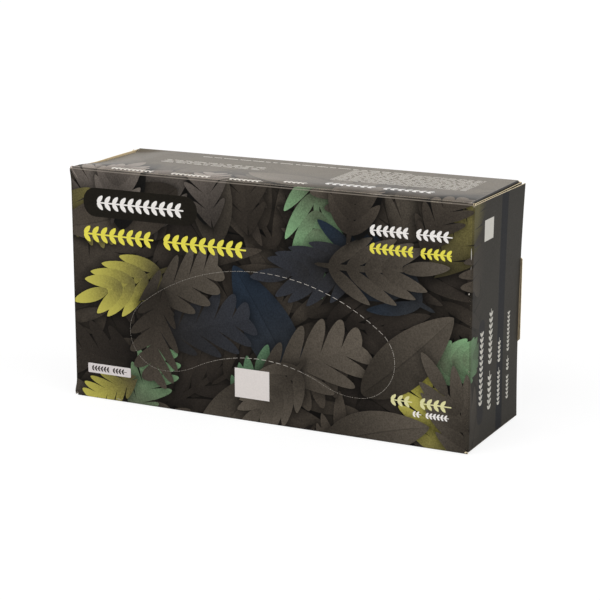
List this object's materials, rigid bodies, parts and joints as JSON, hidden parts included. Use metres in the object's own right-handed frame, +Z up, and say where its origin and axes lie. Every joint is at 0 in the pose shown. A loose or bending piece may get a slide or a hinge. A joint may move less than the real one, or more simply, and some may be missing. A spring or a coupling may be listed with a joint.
{
  "type": "disposable glove dispenser carton",
  "caption": "Folding paperboard carton with a bean-shaped tear-out in its large front, double end flaps and dust flaps, holding a stack of flat disposable gloves.",
  "frame": {"origin": "centre of the underside, on the surface that the carton stands on", "axes": "+X along the carton to the right end, +Y from the front with the tear-out to the back, +Z up"},
  "size_m": [0.2428, 0.0724, 0.133],
  "materials": {
    "printed_board": "dark offset print under a satin varnish, kraft inside",
    "plain_board": "uncoated kraft side of folding boxboard",
    "nitrile": "thin black nitrile, matt with fine wrinkles"
  },
  "bodies": {
    "carton": {"front_panel": "printed_board", "top_panel": "printed_board", "back_panel": "printed_board", "bottom_panel": "printed_board", "right_inner_flap": "printed_board", "left_inner_flap": "printed_board", "glue_flap": "plain_board", "right_top_dust_flap": "plain_board", "right_bottom_dust_flap": "plain_board", "left_top_dust_flap": "plain_board", "left_bottom_dust_flap": "plain_board", "front_glove": "nitrile", "gloves_2_to_10": "nitrile", "gloves_11_to_20": "nitrile", "gloves_21_to_30": "nitrile", "gloves_31_to_40": "nitrile", "gloves_41_to_50": "nitrile", "gloves_51_to_60": "nitrile", "gloves_61_to_70": "nitrile", "gloves_71_to_80": "nitrile", "gloves_81_to_90": "nitrile", "gloves_91_to_100": "nitrile"},
    "tear_out": {"tear_out_panel": "printed_board"},
    "right_flap": {"right_outer_flap": "printed_board"},
    "left_flap": {"left_outer_flap": "printed_board"}
  },
  "joints": [
    {"name": "tear_out_pull", "type": "slide", "parent": "carton", "child": "tear_out", "axis": [0, -1, 0], "range_m": [0, 0.06]},
    {"name": "right_flap_fold", "type": "hinge", "parent": "carton", "child": "right_flap", "pos_m": [0.1195, -0.03575, 0.0665], "axis": [0, 0, -1], "range_deg": [-0.8, 150]},
    {"name": "left_flap_fold", "type": "hinge", "parent": "carton", "child": "left_flap", "pos_m": [-0.1195, -0.03575, 0.0665], "axis": [0, 0, 1], "range_deg": [-0.8, 150]}
  ]
}
